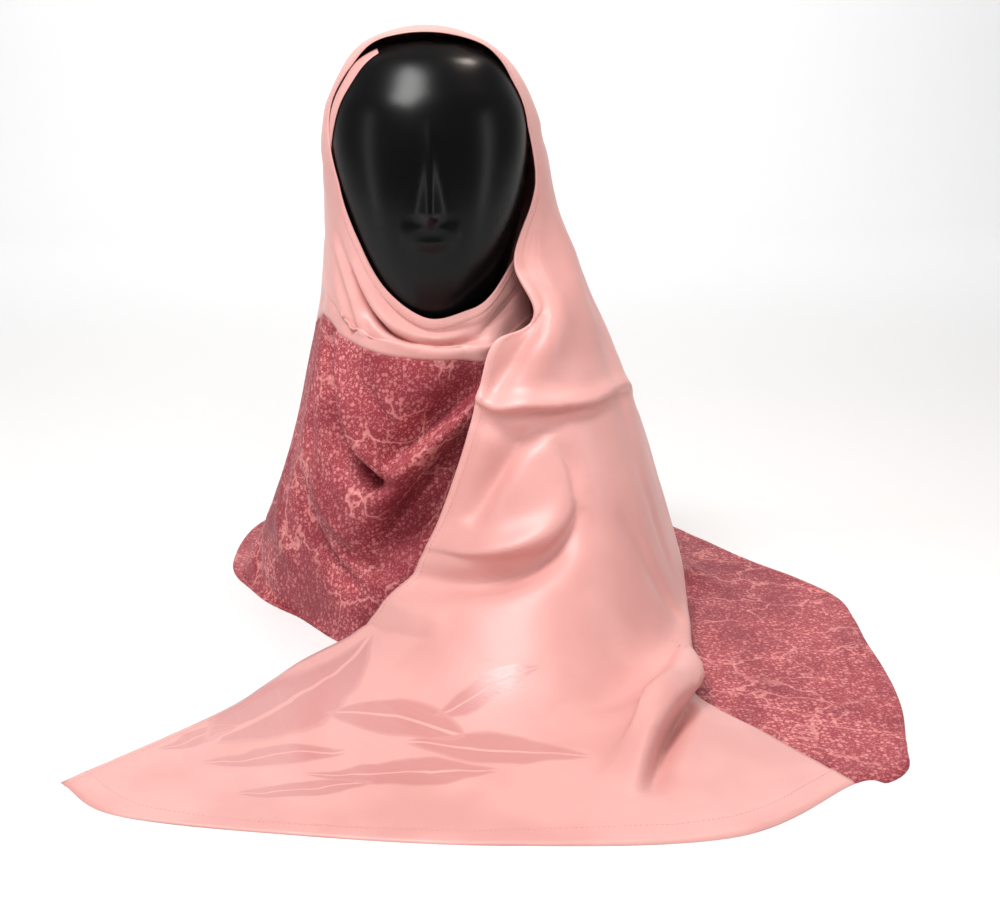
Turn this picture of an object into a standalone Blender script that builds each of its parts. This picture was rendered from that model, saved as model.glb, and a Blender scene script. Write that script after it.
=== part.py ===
# A hijab headscarf worn on a gloss black display head that stands on a table.
#
# The scarf is one long cloth: a plain satin panel with a printed panel sewn along one long side.
# It lies over the head with the plain edge round the face. Its short end goes under the chin, and
# its long end falls down the right of the front and spreads on the table.
#
# +X is the viewer's right, -Y is the front and +Z is up. The origin is the middle of the stand's
# flat base, on the table. Tables hold millimetres.

import math
from collections import namedtuple

import bmesh
import bpy
import numpy as np
from mathutils import Vector
from mathutils.bvhtree import BVHTree

MM = 0.001

# Driving sizes, in millimetres
CLOTH = 1.2  # wall of the cloth, with its hem
SEAM_GAP = 0.5  # between two pieces of cloth that are sewn together
HEAD_CLEARANCE = 3.0  # between the cloth and the display head
TUCK_CLEARANCE = 1.0  # between the turned-in edge at the temple and the display head
TURN = 2 * math.pi

# The display head

HeadRing = namedtuple("HeadRing", "height half_width front back")
HEAD_RINGS = [
    HeadRing(0, 92, 70, 70),
    HeadRing(12, 92, 70, 70),
    HeadRing(24, 88, 66, 67),
    HeadRing(60, 76, 58, 60),
    HeadRing(100, 62, 50, 54),
    HeadRing(140, 53, 46, 50),
    HeadRing(180, 49, 44, 50),
    HeadRing(215, 48, 45, 54),
    HeadRing(236, 47, 52, 60),
    HeadRing(250, 49, 70, 66),
    HeadRing(268, 56, 81, 74),
    HeadRing(292, 64, 88, 85),
    HeadRing(322, 71, 91, 94),
    HeadRing(352, 76, 91, 99),
    HeadRing(382, 78, 87, 99),
    HeadRing(408, 75, 78, 94),
    HeadRing(427, 67, 65, 83),
    HeadRing(443, 56, 50, 68),
    HeadRing(454, 37, 32, 47),
]
HEAD_TOP = 460
HEAD_SIDES = 44
FACE_CROWDING = 0.6  # how far the ring's points crowd towards the middle of the face
HEAD_LEVELS = 27

# The nose is a ridge down the middle of the face, and the lips are two low pads under it
NOSE_TIP = 334
NOSE_BROW = 396
NOSE_OUT = 11
NOSE_HALF_WIDTH = 9
LIPS_HEIGHT = 320
LIPS_OUT = 3.2
LIPS_HALF_WIDTH = 20
LIPS_HALF_HEIGHT = 7

# The cloth's sections
#
# A section runs from the edge by the face, over the plain panel to the seam, then over the printed
# panel to the far hem. Each place is (right, back, up).

Section = namedtuple("Section", "edge near mid far fold seam sway foot hem")
SEAM = Section._fields.index("seam")
HEM = Section._fields.index("hem")


def short_section(edge, seam, sway, foot, hem):
    """A section of the wrap under the chin, whose plain part is one short drop."""
    drop = [tuple(a + (b - a) * k / SEAM for a, b in zip(edge, seam)) for k in range(1, SEAM)]
    return Section(edge, *drop, seam, sway, foot, hem)


# From the tucked short end, right of the chin, round the front to the left temple
WRAP = [
    short_section((60, -54, 268), (62, -80, 223), (64, -92, 120), (66, -100, 8), (67, -103, 0)),
    short_section((36, -71, 263), (35, -87, 225), (36, -103, 125), (34, -116, 8), (34, -119, 0)),
    short_section((0, -80, 254), (-2, -92, 226), (-5, -104, 128), (-12, -118, 8), (-12, -121, 0)),
    short_section((-33, -71, 275), (-42, -84, 230), (-50, -94, 125), (-66, -98, 7), (-68, -101, 0)),
    short_section((-53, -60, 310), (-70, -56, 237), (-86, -54, 128), (-110, -37, 6), (-113, -36, 0)),
    short_section((-68, -43, 350), (-86, -12, 248), (-112, -4, 130), (-150, 20, 5), (-154, 22, 0)),
]
# Over the head, from the left temple to the right jaw
BACK = [
    Section((-75, -19, 402), (-84, 8, 385), (-84, 34, 355), (-84, 46, 318), (-86, 48, 275),
            (-92, 48, 226), (-122, 62, 108), (-168, 90, 6), (-182, 98, 0)),
    Section((-50, -23, 449), (-62, 22, 443), (-65, 62, 408), (-66, 88, 350), (-68, 98, 270),
            (-80, 106, 185), (-108, 128, 80), (-142, 160, 2), (-168, 225, 0)),
    Section((-20, -25, 462), (-22, 28, 464), (-25, 76, 428), (-26, 102, 360), (-27, 112, 262),
            (-34, 122, 145), (-50, 145, 52), (-66, 192, 0), (-88, 330, 0)),
    Section((16, -25, 462), (20, 28, 464), (23, 76, 428), (24, 102, 360), (26, 113, 258),
            (32, 126, 122), (44, 150, 42), (56, 194, 0), (38, 352, 0)),
    Section((49, -24, 449), (61, 20, 443), (65, 60, 410), (64, 88, 352), (68, 102, 256),
            (84, 122, 104), (104, 145, 34), (124, 178, 0), (148, 305, 0)),
    Section((69, -21, 414), (84, 14, 404), (90, 50, 378), (88, 80, 326), (92, 96, 236),
            (112, 114, 90), (134, 134, 28), (154, 158, 0), (198, 250, 0)),
]
# Down the long end, from the right jaw to the hem on the table
FALL = [
    Section((82, -22, 352), (93, 0, 352), (101, 30, 332), (100, 64, 288), (108, 84, 208),
            (132, 104, 80), (156, 122, 24), (176, 142, 0), (221, 212, 0)),
    Section((62, -62, 294), (86, -48, 298), (113, -12, 296), (120, 30, 262), (130, 66, 182),
            (156, 92, 66), (180, 108, 18), (202, 122, 0), (238, 180, 0)),
    Section((58, -92, 246), (92, -92, 246), (124, -58, 246), (143, -4, 226), (152, 46, 152),
            (180, 76, 52), (206, 88, 12), (226, 98, 0), (256, 144, 0)),
    Section((34, -112, 205), (76, -122, 203), (118, -102, 201), (156, -45, 190), (174, 18, 122),
            (200, 52, 36), (228, 62, 6), (252, 70, 0), (285, 88, 0)),
    Section((20, -120, 155), (66, -140, 153), (116, -132, 150), (162, -78, 140), (191, -8, 86),
            (210, 28, 20), (242, 38, 2), (276, 42, 0), (318, 36, 0)),
    Section((-4, -126, 92), (46, -165, 98), (106, -172, 98), (162, -122, 84), (201, -36, 50),
            (209, -10, 6), (252, 4, 0), (298, 4, 0), (342, -14, 0)),
    Section((-30, -130, 56), (22, -202, 54), (94, -222, 50), (160, -166, 42), (198, -86, 32),
            (205, -68, 3), (254, -52, 0), (302, -44, 0), (343, -62, 0)),
    Section((-60, -126, 22), (-16, -232, 18), (66, -280, 12), (146, -228, 18), (190, -150, 26),
            (198, -136, 2), (250, -112, 0), (300, -96, 0), (339, -113, 0)),
    Section((-103, -142, 4), (-62, -270, 4), (24, -330, 2), (122, -288, 8), (176, -214, 20),
            (187, -204, 1), (242, -182, 0), (298, -158, 0), (337, -168, 0)),
    Section((-152, -220, 0), (-122, -322, 0), (-32, -366, 0), (84, -352, 2), (150, -296, 9),
            (228, -276, 0), (270, -250, 0), (306, -238, 0), (330, -232, 0)),
    Section((-239, -321, 0), (-196, -365, 0), (-90, -393, 0), (40, -412, 0), (178, -408, 0),
            (266, -345, 0), (287, -345, 0), (306, -326, 0), (315, -292, 0)),
]
SECTIONS = WRAP + BACK + FALL
TEMPLE = len(WRAP)  # the first section over the head
JAW = TEMPLE + len(BACK)  # the first section of the fall
LAST = len(SECTIONS) - 1

# The largest folds
#
# A fold follows a line of (section, column) places. Its rise is out of the cloth, or into it where
# it is negative. A lap falls off sharply on its steep side, left or right of the way it runs.

Fold = namedtuple("Fold", "places rise soft steep")
FOLDS = [
    # Gathers of the plain panel from the temple round under the chin
    Fold([(5.6, 0.9), (4.6, 1.4), (3.6, 1.6), (2.6, 1.5), (1.8, 1.4), (0.8, 1.5)], 3, 8, 6),
    Fold([(3.9, 2.4), (3.3, 2.3), (2.6, 2.4), (1.8, 2.6)], -4, 6, 5),
    Fold([(5.2, 2.6), (4.4, 3.1), (3.6, 3.3), (2.6, 3.3), (1.8, 3.5), (0.6, 3.2)], 2.5, 7, 6),
    # The printed cowl: a flap between two creases, and a band that rises to the right over it
    Fold([(4.1, 5.0), (3.86, 5.3), (3.67, 5.5), (3.48, 5.66), (3.2, 5.8), (2.7, 5.94)], -18, 11, 8),
    Fold([(2.9, 5.9), (2.5, 5.76), (2.0, 5.58), (1.5, 5.42), (0.8, 5.2)], -11, 9, 8),
    Fold([(3.0, 6.12), (2.6, 6.02), (2.27, 5.88), (1.9, 5.7), (1.5, 5.53), (0.8, 5.3)], 17, 13, 9),
    Fold([(3.3, 6.5), (2.8, 6.35), (2.3, 6.2), (1.7, 5.96), (0.9, 5.7)], -20, 15, 15),
    Fold([(4.5, 6.1), (4.0, 6.26), (3.5, 6.38), (3.1, 6.5), (2.8, 6.65)], -12, 11, 8),
    Fold([(5.1, 6.3), (4.5, 6.5), (3.9, 6.66), (3.4, 6.78)], 9, 14, 9),
    # The fall's ridge over the shoulder, the crease under it and the swags down the front
    Fold([(15.1, 0.2), (15.11, 0.6), (15.1, 1.2), (15.08, 1.9), (15.0, 2.8)], 10, 10, 8),
    Fold([(15.3, 0.25), (15.32, 0.8), (15.3, 1.4), (15.27, 2.1)], -8, 8, 8),
    Fold([(15.4, 1.2), (15.7, 0.85), (16.1, 0.6), (16.6, 0.45)], -13, 16, 14),
    Fold([(17.0, 0.25), (17.0, 0.7), (16.95, 1.2), (16.8, 1.5), (16.4, 1.8)], 9, 14, 8),
    Fold([(17.5, 0.3), (17.4, 0.75), (17.3, 1.2), (17.1, 1.55), (16.7, 1.85)], -17, 15, 10),
    Fold([(16.9, 2.8), (17.4, 3.1), (17.9, 3.4), (18.4, 3.6)], -6, 12, 9),
    # The hollow where the fall meets the table at its right
    Fold([(20.0, 4.5), (20.6, 4.2), (21.0, 3.95), (21.4, 3.85)], -9, 13, 11),
    Fold([(19.6, 4.0), (20.3, 3.85), (20.9, 3.6), (21.4, 3.4)], 6, 14, 12),
]
BACK_FLUTES = 5  # soft vertical flutes down the back of the cloth
FLUTE_DEPTH = 7

# The temple tuck: the panel's edge is turned in at the left temple and shows inside the hood.
# Each row is the turned edge by the face, and how far the cloth goes back from it.
Tuck = namedtuple("Tuck", "right back up depth")
TUCK = [
    Tuck(-76, -24, 362, 9),
    Tuck(-75, -28, 378, 13),
    Tuck(-72, -33, 395, 15),
    Tuck(-67, -36, 412, 16),
    Tuck(-60, -37, 427, 16),
    Tuck(-50, -35, 440, 15),
    Tuck(-38, -31, 450, 11),
]
TUCK_LONG = 14
TUCK_ACROSS = 3

# Each piece of cloth: the sections and columns it spans, and how many faces long and wide it is
Piece = namedtuple("Piece", "name first last top foot across down colour")
PLAIN_PINK = (0.82, 0.43, 0.40)
PRINT_ROSE = (0.42, 0.09, 0.11)
HEAD_BLACK = (0.008, 0.008, 0.010)
PIECES = [
    Piece("chin_wrap", 0, TEMPLE, 0, SEAM, 30, 10, PLAIN_PINK),
    Piece("print_drape", 0, TEMPLE, SEAM, HEM, 30, 24, PRINT_ROSE),
    Piece("hood", TEMPLE, JAW, 0, 3.5, 20, 14, PLAIN_PINK),
    Piece("back_plain", TEMPLE, JAW, 3.5, SEAM, 20, 6, PLAIN_PINK),
    Piece("back_print", TEMPLE, JAW, SEAM, HEM, 20, 8, PRINT_ROSE),
    Piece("front_fall", JAW, LAST, 0, SEAM, 50, 20, PLAIN_PINK),
    Piece("print_tail", JAW, LAST, SEAM, HEM, 50, 8, PRINT_ROSE),
]


def new_object(name, mesh, colour, roughness):
    """An object in the scarf's collection, with a material of its own."""
    material = bpy.data.materials.new(name)
    material.use_nodes = True
    shader = material.node_tree.nodes["Principled BSDF"]
    shader.inputs["Base Color"].default_value = (*colour, 1)
    shader.inputs["Roughness"].default_value = roughness
    shader.inputs["Metallic"].default_value = 0
    mesh.materials.append(material)
    made = bpy.data.objects.new(name, mesh)
    bpy.data.collections["hijab_scarf"].objects.link(made)
    return made


def blend_weights(part):
    """The four weights of a smooth curve through equally spaced points, at this part of a span."""
    return (
        (-part + 2 * part**2 - part**3) / 2,
        (2 - 5 * part**2 + 3 * part**3) / 2,
        (part + 4 * part**2 - 3 * part**3) / 2,
        (-(part**2) + part**3) / 2,
    )


def with_ends(stack):
    """The stack with one more row before its first and after its last, straight on from them."""
    return np.concatenate([2 * stack[:1] - stack[1:2], stack, 2 * stack[-1:] - stack[-2:-1]])


def smooth_curve(points, at):
    """Places on a smooth curve through the points, at these fractional counts along them."""
    stack = with_ends(np.array(points, float))
    span = np.clip(np.floor(at).astype(int), 0, len(points) - 2)
    weights = blend_weights(at - span)
    return sum(weights[k][..., None] * stack[span + k] for k in range(4))


# The display head's surface

def head_ring(level):
    """The ring of the head at a level from 0, its base, to HEAD_LEVELS, just under its top."""
    rings = np.array(HEAD_RINGS, float)
    place = level / HEAD_LEVELS * (len(HEAD_RINGS) - 1)
    height, half_width, front, back = smooth_curve(rings, np.array(place))
    points = []
    for side in range(HEAD_SIDES):
        angle = TURN * side / HEAD_SIDES
        angle -= FACE_CROWDING * math.sin(angle)
        depth = front if math.cos(angle) > 0 else back
        x = half_width * math.sin(angle)
        y = -depth * math.cos(angle)
        if math.cos(angle) > 0:
            y -= face_relief(x, height)
        points.append(Vector((x, y, max(height, 0))) * MM)
    return points


def face_relief(x, height):
    """How far the nose and lips stand out of the face here."""
    up = (height - NOSE_TIP) / (NOSE_BROW - NOSE_TIP)
    if up < 0:
        along = max(0.0, 1 + up * 8)
    else:
        along = max(0.0, 1 - up) ** 1.3
    width = NOSE_HALF_WIDTH * (0.55 + 0.45 * along)
    nose = NOSE_OUT * along * math.exp(-((x / width) ** 2))
    across = x / LIPS_HALF_WIDTH
    over = (height - LIPS_HEIGHT) / LIPS_HALF_HEIGHT
    lips = LIPS_OUT * math.exp(-(across**2) * 2 - over**2)
    return nose + lips


def display_head():
    """The head, neck and round base, as rings joined into one closed form."""
    shape = bmesh.new()
    rings = [[shape.verts.new(p) for p in head_ring(level)] for level in range(HEAD_LEVELS + 1)]
    for low, high in zip(rings, rings[1:]):
        for side in range(HEAD_SIDES):
            nxt = (side + 1) % HEAD_SIDES
            shape.faces.new((low[side], high[side], high[nxt], low[nxt]))
    shape.faces.new(rings[0])
    top = shape.verts.new((0, 0, HEAD_TOP * MM))
    for side in range(HEAD_SIDES):
        shape.faces.new((rings[-1][side], top, rings[-1][(side + 1) % HEAD_SIDES]))
    bmesh.ops.recalc_face_normals(shape, faces=shape.faces)
    mesh = bpy.data.meshes.new("stand_head")
    shape.to_mesh(mesh)
    shape.free()
    mesh.shade_smooth()
    mesh.set_sharp_from_angle(angle=math.radians(40))
    return new_object("stand_head", mesh, HEAD_BLACK, 0.08)


# The cloth's surface

NET = with_ends(with_ends(np.array(SECTIONS, float)).transpose(1, 0, 2)).transpose(1, 0, 2)
STEP = 0.01  # of a section or column, for slopes


def base_place(s, t):
    """The cloth without its folds, at section s and column t, which are arrays of one shape."""
    i = np.clip(np.floor(s).astype(int), 0, LAST - 1)
    j = np.clip(np.floor(t).astype(int), 0, HEM - 1)
    rows = blend_weights(s - i)
    columns = blend_weights(t - j)
    return sum(
        (rows[a] * columns[b])[..., None] * NET[i + a, j + b] for a in range(4) for b in range(4)
    )


def slopes(place, s, t):
    """The outward normal of a surface, from small steps along both of its ways."""
    along = place(s + STEP, t) - place(s - STEP, t)
    down = place(s, t + STEP) - place(s, t - STEP)
    normal = np.cross(along, down)
    return normal / np.linalg.norm(normal, axis=-1, keepdims=True)


def fold_rise(fold, points, normals):
    """How far a fold moves each point out of the cloth."""
    steps = np.linspace(0, len(fold.places) - 1, 12 * len(fold.places))
    places = smooth_curve(fold.places, steps)
    line = base_place(places[:, 0], places[:, 1])
    ways = np.gradient(line, axis=0)
    ways /= np.linalg.norm(ways, axis=1, keepdims=True)
    apart = points[..., None, :] - line
    nearest = np.linalg.norm(apart, axis=-1).argmin(axis=-1)
    offset = np.take_along_axis(apart, nearest[..., None, None], axis=-2)[..., 0, :]
    side = (np.cross(ways[nearest], offset) * normals).sum(axis=-1)
    distance = np.linalg.norm(offset, axis=-1)
    width = np.where(side > 0, fold.soft, fold.steep)
    along = nearest / (len(line) - 1)
    strength = np.sin(np.pi * np.clip(0.08 + 0.84 * along, 0, 1)) ** 0.6
    return fold.rise * strength * np.exp(-((distance / width) ** 2))


def flute_rise(s, t):
    """Soft vertical flutes down the back, deepest where the cloth nears the table."""
    over_back = np.exp(-(((s - (TEMPLE + JAW) / 2) / 3.4) ** 2))
    hanging = np.exp(-(((t - 5.4) / 1.3) ** 2))
    turns = np.cos(TURN * BACK_FLUTES * (s - TEMPLE) / (JAW - TEMPLE) + 0.8)
    return FLUTE_DEPTH * over_back * hanging * turns


def cloth_place(s, t):
    """The underside of the cloth, folded, lying on the table where it reaches it."""
    points = base_place(s, t)
    normals = slopes(base_place, s, t)
    rise = flute_rise(s, t)
    for fold in FOLDS:
        rise = rise + fold_rise(fold, points, normals)
    points = points + normals * rise[..., None]
    points[..., 2] = np.maximum(points[..., 2], 0)
    return points


def clear_of_head(point, tree, clearance):
    """The point in metres, moved straight out of the head where it is too near."""
    point = Vector(point) * MM
    near, normal, _, _ = tree.find_nearest(point)
    short = clearance * MM - (point - near).dot(normal)
    return point + normal * short if short > 0 else point


def part_seams(piece, s, t):
    """Draws a piece in by half the seam gap, where the cloth goes on in another piece."""
    inset = SEAM_GAP / 2
    along = cloth_place(s + STEP, t) - cloth_place(s - STEP, t)
    down = cloth_place(s, t + STEP) - cloth_place(s, t - STEP)
    s_inset = inset * 2 * STEP / np.linalg.norm(along, axis=-1)
    t_inset = inset * 2 * STEP / np.linalg.norm(down, axis=-1)
    if piece.first > 0:
        s[0] += s_inset[0]
    if piece.last < LAST:
        s[-1] -= s_inset[-1]
    if piece.top > 0:
        t[:, 0] += t_inset[:, 0]
    if piece.foot < HEM:
        t[:, -1] -= t_inset[:, -1]


def cloth_piece(piece, tree):
    """One stretch of cloth as a closed wall, parted from its neighbours by the seam gap."""
    s, t = np.meshgrid(
        np.linspace(piece.first, piece.last, piece.across + 1),
        np.linspace(piece.top, piece.foot, piece.down + 1),
        indexing="ij",
    )
    part_seams(piece, s, t)
    under = cloth_place(s, t)
    over = under + slopes(cloth_place, s, t) * CLOTH
    over[..., 2] = np.maximum(over[..., 2], 0)
    wall(
        piece.name,
        [[clear_of_head(p, tree, HEAD_CLEARANCE) for p in row] for row in under],
        [[clear_of_head(p, tree, HEAD_CLEARANCE + CLOTH) for p in row] for row in over],
        piece.colour,
    )


def temple_tuck(tree):
    """The turned-in edge, which lies on the head inside the hood."""
    under, over = [], []
    for right, back, up, depth in smooth_curve(TUCK, np.linspace(0, len(TUCK) - 1, TUCK_LONG + 1)):
        flat = [(right, back + depth * k / TUCK_ACROSS, up) for k in range(TUCK_ACROSS + 1)]
        ends = [tree.find_nearest(Vector(p) * MM) for p in flat]
        under.append([near + normal * TUCK_CLEARANCE * MM for near, normal, _, _ in ends])
        over.append([near + normal * (TUCK_CLEARANCE + CLOTH) * MM for near, normal, _, _ in ends])
    wall("temple_tuck", under, over, PLAIN_PINK)


def wall(name, under, over, colour):
    """A closed wall of cloth between two grids of points."""
    shape = bmesh.new()
    close_wall(shape, *([[shape.verts.new(p) for p in row] for row in grid] for grid in (under, over)))
    bmesh.ops.recalc_face_normals(shape, faces=shape.faces)
    mesh = bpy.data.meshes.new(name)
    shape.to_mesh(mesh)
    shape.free()
    mesh.shade_smooth()
    return new_object(name, mesh, colour, 0.5)


def close_wall(shape, under, over):
    """Faces over both sides of a wall and round its rim."""
    long, wide = len(under), len(under[0])
    for i in range(long - 1):
        for j in range(wide - 1):
            shape.faces.new((under[i][j], under[i][j + 1], under[i + 1][j + 1], under[i + 1][j]))
            shape.faces.new((over[i][j], over[i + 1][j], over[i + 1][j + 1], over[i][j + 1]))
    rim = [(i, 0) for i in range(long)] + [(long - 1, j) for j in range(1, wide)]
    rim += [(i, wide - 1) for i in range(long - 2, -1, -1)] + [(0, j) for j in range(wide - 2, 0, -1)]
    for (i, j), (k, m) in zip(rim, rim[1:] + rim[:1]):
        shape.faces.new((under[i][j], under[k][m], over[k][m], over[i][j]))


def main():
    for old in list(bpy.data.objects):
        bpy.data.objects.remove(old)
    bpy.context.scene.collection.children.link(bpy.data.collections.new("hijab_scarf"))
    head = display_head()
    tree = BVHTree.FromPolygons(
        [v.co for v in head.data.vertices], [p.vertices for p in head.data.polygons]
    )
    for piece in PIECES:
        cloth_piece(piece, tree)
    temple_tuck(tree)


main()
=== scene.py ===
# A plain pink satin headscarf with a printed border panel, on a gloss black display head.
# Right is +X, back is +Y and up is +Z. Tables are in millimetres.

import math
from collections import namedtuple

import bpy
import numpy as np
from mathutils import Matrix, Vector, noise
from mathutils.bvhtree import BVHTree


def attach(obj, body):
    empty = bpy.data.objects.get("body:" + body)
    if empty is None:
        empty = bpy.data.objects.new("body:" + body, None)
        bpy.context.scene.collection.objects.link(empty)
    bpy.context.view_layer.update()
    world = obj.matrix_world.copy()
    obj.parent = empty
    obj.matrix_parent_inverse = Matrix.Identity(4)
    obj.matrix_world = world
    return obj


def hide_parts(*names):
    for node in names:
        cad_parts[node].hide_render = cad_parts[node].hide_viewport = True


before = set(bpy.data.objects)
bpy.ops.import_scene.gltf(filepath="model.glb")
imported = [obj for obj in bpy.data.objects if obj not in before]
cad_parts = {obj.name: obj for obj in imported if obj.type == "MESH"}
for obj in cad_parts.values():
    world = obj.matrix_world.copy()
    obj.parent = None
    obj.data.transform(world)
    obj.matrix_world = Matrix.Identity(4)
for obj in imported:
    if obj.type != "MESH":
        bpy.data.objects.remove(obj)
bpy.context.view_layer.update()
mm = 0.001
turn = 2 * math.pi
print("frame loaded")


def smoothStep(low, high, value):
    x = np.clip((value - low) / (high - low), 0, 1)
    return x * x * (3 - 2 * x)


def newPiece(name, points, faces, material):
    mesh = bpy.data.meshes.new(name)
    mesh.from_pydata(points, [], faces)
    mesh.materials.append(material)
    mesh.shade_smooth()
    piece = bpy.data.objects.new(name, mesh)
    bpy.context.scene.collection.objects.link(piece)
    return piece


# Shader maths is written as expressions on wires


class Wire:
    def __init__(self, shader, out):
        self.shader, self.out = shader, out

    def maths(self, operation, *values):
        return self.shader.add("ShaderNodeMath", {"operation": operation}, dict(enumerate(values)))

    def __add__(self, other):
        return self.maths("ADD", self, other)

    def __sub__(self, other):
        return self.maths("SUBTRACT", self, other)

    def __rsub__(self, other):
        return self.maths("SUBTRACT", other, self)

    def __mul__(self, other):
        return self.maths("MULTIPLY", self, other)

    def __truediv__(self, other):
        return self.maths("DIVIDE", self, other)

    def __abs__(self):
        return self.maths("ABSOLUTE", self)

    def most(self, other):
        return self.maths("MAXIMUM", self, other)

    def least(self, other):
        return self.maths("MINIMUM", self, other)

    __radd__ = __add__
    __rmul__ = __mul__


class Shader:
    def __init__(self, name):
        self.material = bpy.data.materials.new(name)
        self.material.use_nodes = True
        self.tree = self.material.node_tree
        self.tree.nodes.clear()

    def add(self, kind, settings=None, sockets=None, output=0):
        node = self.tree.nodes.new(kind)
        for key, value in (settings or {}).items():
            setattr(node, key, value)
        for key, value in (sockets or {}).items():
            if isinstance(value, Wire):
                self.tree.links.new(value.out, node.inputs[key])
            else:
                node.inputs[key].default_value = value
        return Wire(self, node.outputs[output]) if node.outputs else node

    def place(self):
        return self.add("ShaderNodeTexCoord", output="Object")

    def cloth(self):
        return self.add("ShaderNodeUVMap", {"uv_map": "cloth"})

    def stretched(self, place, scale):
        return self.add("ShaderNodeMapping", None, {"Vector": place, "Scale": scale})

    def cloud(self, place, scale, detail=2):
        sockets = {"Vector": place, "Scale": scale, "Detail": detail}
        return self.add("ShaderNodeTexNoise", None, sockets)

    def threads(self, cloth, across, along, detail=2):  # uneven lines, each metre
        return self.cloud(self.stretched(cloth, (across, along, 1)), 1, detail)

    def between(self, low, high, value):  # 0 below low, 1 above high
        sockets = {"Value": value, "From Min": low, "From Max": high}
        settings = {"interpolation_type": "SMOOTHSTEP", "clamp": True}
        return self.add("ShaderNodeMapRange", settings, sockets)

    def mix(self, factor, first, second):
        colours = [c if isinstance(c, Wire) else (*c, 1) for c in (first, second)]
        settings = {"data_type": "RGBA"}
        return self.add("ShaderNodeMix", settings, {0: factor, 6: colours[0], 7: colours[1]}, 2)

    def bump(self, height, distance, strength=1.0):
        sockets = {"Height": height, "Distance": distance, "Strength": strength}
        return self.add("ShaderNodeBump", None, sockets)

    def finish(self, sockets):
        surface = self.add("ShaderNodeBsdfPrincipled", None, sockets)
        self.add("ShaderNodeOutputMaterial", None, {"Surface": surface})
        return self.material


# The plain satin: fine threads across the panel, soft rubbed patches and a tonal woven spray

plainSettings = {
    "lit": (0.73, 0.37, 0.342),
    "rubbed": (0.67, 0.32, 0.295),
    "patchSize": 9,
    "patchEdge": (0.42, 0.62),
    "tonal": (0.50, 0.19, 0.185),
    "tonalShare": 0.6,
    "tonalGloss": 0.12,
    "edge": (0.80, 0.42, 0.39),
    "edgeShare": 0.22,
    "roughness": 0.42,
    "unevenRoughness": 0.08,
    "threads": (1500, 60),  # each metre across and along
    "crossShare": 0.6,
    "threadDepth": 0.00012,
    "streaks": (220, 14),
    "streakEdge": (0.5, 0.72),
    "streakShare": 0.22,
    "sheen": 0.12,
    "sheenTint": (1.0, 0.82, 0.78, 1),
    "specular": 0.6,
}
# The woven leaves on the long end where it lies on the table
leaf = namedtuple("leaf", "right back length width degrees")
leafSettings = {
    "leaves": [
        leaf(-100, -206, 172, 86, 52), leaf(-30, -256, 116, 42, 150),
        leaf(-108, -292, 100, 32, 186), leaf(40, -300, 128, 36, 350),
        leaf(-22, -322, 136, 28, 176), leaf(-160, -262, 64, 26, 215),
        leaf(36, -250, 84, 24, 14), leaf(-84, -336, 88, 20, 190),
    ],
    "bendSize": 22,
    "bend": 0.016,
    "lean": 0.25,  # fuller towards one end
    "softness": 0.10,
    "vein": (0.02, 0.06),
    "rim": (0.12, 0.2),
}


def satinMaterial(name):
    use, shader = plainSettings, Shader(name)
    place, cloth = shader.place(), shader.cloth()
    patches = shader.cloud(place, use["patchSize"], 3)
    colour = shader.mix(shader.between(*use["patchEdge"], patches), use["lit"], use["rubbed"])
    woven, outline = leafMask(shader, place)
    colour = shader.mix(use["tonalShare"] * woven, colour, use["tonal"])
    colour = shader.mix(use["edgeShare"] * outline, colour, use["edge"])
    roughness = use["roughness"] + use["unevenRoughness"] * (patches - 0.5)
    roughness = roughness - use["tonalGloss"] * woven
    threads = shader.threads(cloth, *use["threads"])
    crossThreads = shader.threads(cloth, *use["threads"][::-1])
    streaks = shader.between(*use["streakEdge"], shader.threads(cloth, *use["streaks"], 3))
    return shader.finish({
        "Base Color": shader.mix(use["streakShare"] * streaks, colour, use["rubbed"]),
        "Roughness": roughness,
        "Normal": shader.bump(threads + use["crossShare"] * crossThreads, use["threadDepth"]),
        "Sheen Weight": use["sheen"],
        "Sheen Roughness": 0.4,
        "Sheen Tint": use["sheenTint"],
        "Specular IOR Level": use["specular"],
    })


def leafMask(shader, place):
    use = leafSettings
    bend = shader.cloud(place, use["bendSize"], 2)
    x = shader.add("ShaderNodeSeparateXYZ", None, {0: place}, 0) + use["bend"] * (bend - 0.5)
    y = shader.add("ShaderNodeSeparateXYZ", None, {0: place}, 1) + use["bend"] * (0.5 - bend)
    mask = outline = None
    for one in use["leaves"]:
        cosine, sine = math.cos(math.radians(one.degrees)), math.sin(math.radians(one.degrees))
        across, down = x - one.right * mm, y - one.back * mm
        along = (across * cosine + down * sine) / (one.length * mm / 2)
        aside = abs(down * cosine - across * sine) / (one.width * mm / 2)
        inside = 1 - along * along - aside * (1.0 + use["lean"] * along)
        shape = shader.between(0.0, use["softness"], inside)
        vein = shader.between(*use["vein"], aside - use["vein"][0] * (1 - along))
        rim = shape * (1 - vein.least(shader.between(*use["rim"], inside)))
        shape = shape * vein
        mask = shape if mask is None else mask.most(shape)
        outline = rim if outline is None else outline.most(rim)
    return mask, outline


# The print: pale specks of two sizes and thin winding lines on dark rose

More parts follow.
